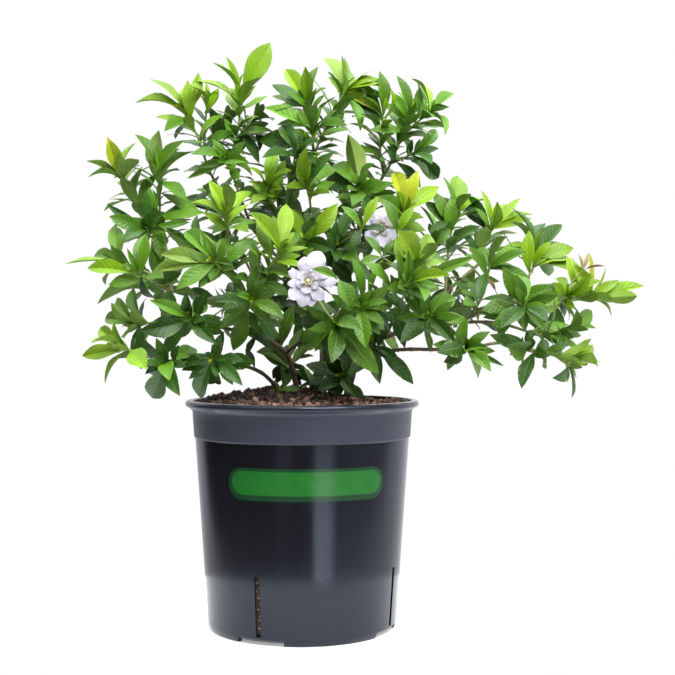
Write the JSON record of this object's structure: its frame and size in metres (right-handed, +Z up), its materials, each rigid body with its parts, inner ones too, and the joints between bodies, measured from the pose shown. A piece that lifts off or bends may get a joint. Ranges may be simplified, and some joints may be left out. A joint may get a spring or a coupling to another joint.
{
  "type": "potted gardenia",
  "caption": "Leafy flowering shrub with double white blooms on branching woody stems, growing from soil in a round plastic nursery pot with side slits.",
  "frame": {"origin": "centre of the pot's flat underside, where the pot stands", "axes": "+Z up, -Y toward the front of the pot as the picture shows it, +X to its right"},
  "size_m": [0.6098, 0.3719, 0.636],
  "materials": {
    "pot_plastic": "dark grey moulded plastic, half matt, with a soft sheen on the body",
    "soil": "loose brown bark compost with granules and clods, matt",
    "bark": "thin grey-brown bark, rough and matt",
    "leaf_young": "glossy lime green young leaves",
    "leaf_green": "glossy mid green leaves with paler veins",
    "leaf_dark": "glossy dark green grown leaves",
    "petal": "soft matt white petals",
    "stamen": "matt cream yellow stamens"
  },
  "bodies": {
    "root": {"bloom_back": "petal", "bloom_back_eye": "stamen", "bloom_front": "petal", "bloom_front_eye": "stamen", "leafy_stem_back_centre": "leaf_dark", "leafy_stem_back_high": "leaf_green", "leafy_stem_back_left": "leaf_green", "leafy_stem_back_low": "leaf_dark", "leafy_stem_back_low_mid": "leaf_dark", "leafy_stem_back_right": "leaf_green", "leafy_stem_back_right_low": "leaf_dark", "leafy_stem_beside_bloom": "leaf_green", "leafy_stem_centre_left": "leaf_young", "leafy_stem_centre_top": "leaf_young", "leafy_stem_crown_left": "leaf_young", "leafy_stem_crown_peak": "leaf_young", "leafy_stem_crown_top": "leaf_young", "leafy_stem_far_right": "leaf_young", "leafy_stem_foot_right": "leaf_dark", "leafy_stem_front": "leaf_green", "leafy_stem_front_left": "leaf_green", "leafy_stem_front_left_low": "leaf_dark", "leafy_stem_front_right": "leaf_young", "leafy_stem_head_left": "leaf_dark", "leafy_stem_head_right": "leaf_young", "leafy_stem_heart": "leaf_dark", "leafy_stem_left": "leaf_green", "leafy_stem_left_front": "leaf_green", "leafy_stem_left_high": "leaf_green", "leafy_stem_left_low": "leaf_green", "leafy_stem_left_mid": "leaf_young", "leafy_stem_left_under": "leaf_dark", "leafy_stem_low_left": "leaf_dark", "leafy_stem_low_left_tip": "leaf_young", "leafy_stem_low_right": "leaf_green", "leafy_stem_low_right_tip": "leaf_young", "leafy_stem_mid_left_back": "leaf_young", "leafy_stem_right_back": "leaf_green", "leafy_stem_right_fork": "leaf_green", "leafy_stem_right_front": "leaf_green", "leafy_stem_right_high": "leaf_young", "leafy_stem_right_low": "leaf_green", "leafy_stem_right_mid": "leaf_green", "leafy_stem_right_tip": "leaf_green", "leafy_stem_rim_left": "leaf_dark", "leafy_stem_shoulder": "leaf_young", "leafy_stem_shoulder_right": "leaf_young", "leafy_stem_soil_front": "leaf_dark", "leafy_stem_soil_right": "leaf_dark", "leafy_stem_under_bloom": "leaf_green", "leafy_stem_upper_right": "leaf_green", "pot": "pot_plastic", "soil": "soil", "woody_stem_centre": "bark", "woody_stem_front": "bark", "woody_stem_left": "bark", "woody_stem_right": "bark"}
  },
  "joints": []
}
